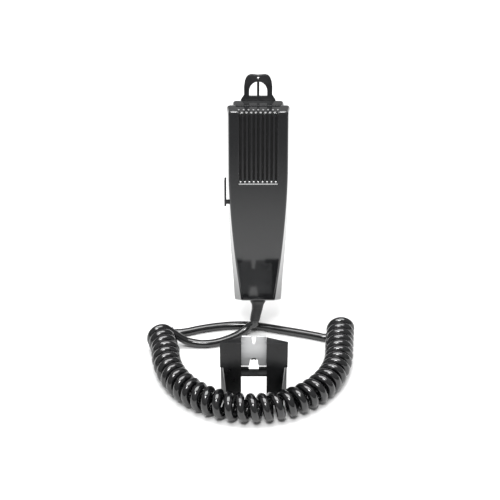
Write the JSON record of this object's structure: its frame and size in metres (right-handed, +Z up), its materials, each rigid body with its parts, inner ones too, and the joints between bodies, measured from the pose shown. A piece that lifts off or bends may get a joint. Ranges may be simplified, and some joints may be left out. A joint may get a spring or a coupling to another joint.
{
  "type": "push-to-talk hand microphone",
  "caption": "Slim hand microphone with a grooved grille, a side talk bar and a hang loop, on a curly cord with a modular plug, and a two-armed holder with a notched steel plate.",
  "frame": {"origin": "middle of the hand grip, inside the case", "axes": "+Z up, +X to the right seen from the grille, -Y towards whoever faces the grille; the microphone leans back 14 degrees about X and the cord and holder stand on a table 98.7 mm below the origin"},
  "size_m": [0.1845, 0.2043, 0.2229],
  "materials": {
    "case_plastic": "glossy moulded black ABS",
    "lever_plastic": "satin black nylon",
    "rubber": "matt black rubber",
    "cord_jacket": "satin black polyurethane jacket",
    "grille_cloth": "woven black cloth",
    "foam": "open-cell grey foam",
    "bright_steel": "bright brushed sheet steel",
    "screw_steel": "blackened steel",
    "stud_alloy": "turned satin alloy",
    "board": "green solder mask",
    "switch_plastic": "dark grey phenolic",
    "plug_plastic": "clear polycarbonate",
    "contact_metal": "gold flash"
  },
  "bodies": {
    "microphone": {"front_shell": "case_plastic", "rear_shell": "case_plastic", "hang_loop": "lever_plastic", "cable_boot": "rubber", "capsule_ring": "rubber", "lead_cord": "cord_jacket", "coil_cord": "cord_jacket", "tail_cord": "cord_jacket", "cable_inside": "cord_jacket", "acoustic_cloth": "grille_cloth", "foam_block": "foam", "stud_nut": "bright_steel", "cable_clamp": "bright_steel", "case_screw_1": "screw_steel", "case_screw_2": "screw_steel", "case_screw_3": "screw_steel", "case_screw_4": "screw_steel", "loop_screw_1": "screw_steel", "loop_screw_2": "screw_steel", "clamp_screw_1": "screw_steel", "clamp_screw_2": "screw_steel", "hang_stud": "stud_alloy", "microphone_capsule": "stud_alloy", "circuit_board": "board", "microswitch": "switch_plastic", "plug_body": "plug_plastic", "plug_contact_1": "contact_metal", "plug_contact_2": "contact_metal", "plug_contact_3": "contact_metal", "plug_contact_4": "contact_metal", "plug_contact_5": "contact_metal", "plug_contact_6": "contact_metal"},
    "talk_bar": {"talk_bar": "lever_plastic", "talk_bar_pin": "bright_steel"},
    "switch_plunger": {"switch_plunger": "lever_plastic"},
    "plug_latch": {"plug_latch": "plug_plastic"},
    "holder": {"holder_body": "case_plastic", "notch_bumper": "rubber", "holder_plate": "bright_steel", "holder_rivet_1": "bright_steel", "holder_rivet_2": "bright_steel", "holder_rivet_3": "bright_steel", "holder_rivet_4": "bright_steel"}
  },
  "joints": [
    {"name": "talk_bar_press", "type": "hinge", "parent": "microphone", "child": "talk_bar", "pos_m": [-0.0218, 0.00212, 0.02792], "axis": [0, 0.9703, -0.2419], "range_deg": [0, 2.8], "stiffness_Nm_per_rad": 1.2},
    {"name": "plunger_push", "type": "slide", "parent": "microphone", "child": "switch_plunger", "axis": [1, 0, 0], "range_m": [0, 0.00056]},
    {"name": "latch_flex", "type": "hinge", "parent": "microphone", "child": "plug_latch", "pos_m": [-0.0901, -0.02444, -0.09276], "axis": [0, -1, 0], "range_deg": [-6, 0], "stiffness_Nm_per_rad": 0.15},
    {"name": "holder_lift", "type": "slide", "parent": "microphone", "child": "holder", "axis": [0, 0, 1], "range_m": [0, 0.12]}
  ],
  "couplings": [
    {"joint": "plunger_push", "follows": "talk_bar_press", "m_per_rad": 0.0114}
  ]
}
